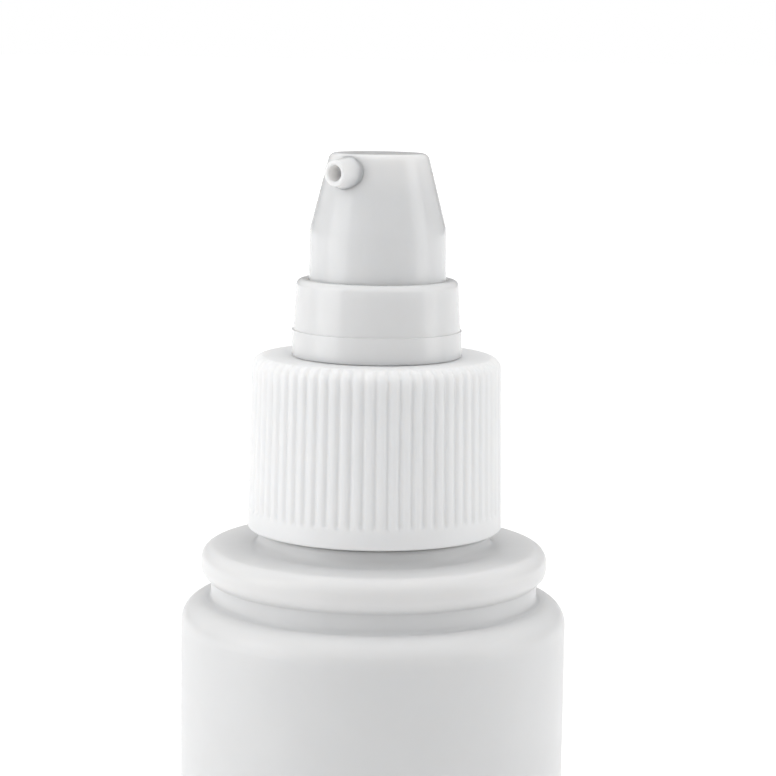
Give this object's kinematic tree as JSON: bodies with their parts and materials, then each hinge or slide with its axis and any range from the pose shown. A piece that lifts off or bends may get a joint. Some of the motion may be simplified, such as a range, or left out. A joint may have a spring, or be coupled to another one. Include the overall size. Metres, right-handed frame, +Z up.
{
  "type": "pump dispenser bottle",
  "caption": "Cylindrical plastic bottle with a wide bead under a threaded neck, a ribbed screw closure, a glossy guide collar and a tapered finger pump with a round side nozzle.",
  "frame": {"origin": "centre of the standing ring's plane, on the bottle's axis", "axes": "+Z up along the bottle's axis; the nozzle points along -Y"},
  "size_m": [0.0422, 0.0422, 0.137],
  "materials": {
    "bottle_plastic": "semi-gloss white polyethylene",
    "closure_plastic": "satin white polypropylene",
    "gloss_plastic": "glossy white polypropylene",
    "natural_plastic": "natural, milky polypropylene",
    "tube_plastic": "natural, translucent polyethylene",
    "gasket_foam": "white foamed liner",
    "spring_steel": "drawn stainless wire",
    "ball_steel": "polished stainless steel"
  },
  "bodies": {
    "bottle": {"bottle": "bottle_plastic"},
    "pump": {"pump_housing": "natural_plastic", "neck_gasket": "gasket_foam", "collar": "gloss_plastic", "stem_retainer": "natural_plastic", "ball_cage": "natural_plastic", "dip_tube": "tube_plastic", "return_spring": "spring_steel"},
    "closure": {"closure": "closure_plastic"},
    "plunger": {"stem": "natural_plastic", "valve_rod": "natural_plastic"},
    "head": {"actuator": "gloss_plastic", "nozzle": "gloss_plastic"},
    "piston": {"piston": "natural_plastic"},
    "ball": {"inlet_ball": "ball_steel"}
  },
  "joints": [
    {"name": "pump_lift", "type": "slide", "parent": "bottle", "child": "pump", "axis": [0, 0, 1], "range_m": [0, 0.00476]},
    {"name": "closure_turn", "type": "hinge", "parent": "pump", "child": "closure", "pos_m": [0, 0, 0.11505], "axis": [0, 0, 1], "range_deg": [0, 540]},
    {"name": "press", "type": "slide", "parent": "pump", "child": "plunger", "axis": [0, 0, -1], "range_m": [0, 0.005], "stiffness_N_per_m": 700, "springref_m": -0.006, "deforming": ["return_spring"]},
    {"name": "head_turn", "type": "hinge", "parent": "plunger", "child": "head", "pos_m": [0, 0, 0.13505], "axis": [0, 0, 1], "continuous": true},
    {"name": "piston_slip", "type": "slide", "parent": "plunger", "child": "piston", "axis": [0, 0, 1], "range_m": [0, 0.0008]},
    {"name": "ball_lift", "type": "slide", "parent": "pump", "child": "ball", "axis": [0, 0, 1], "range_m": [0, 0.0013]}
  ],
  "couplings": [
    {"joint": "pump_lift", "follows": "closure_turn", "m_per_rad": 0.00050532}
  ]
}
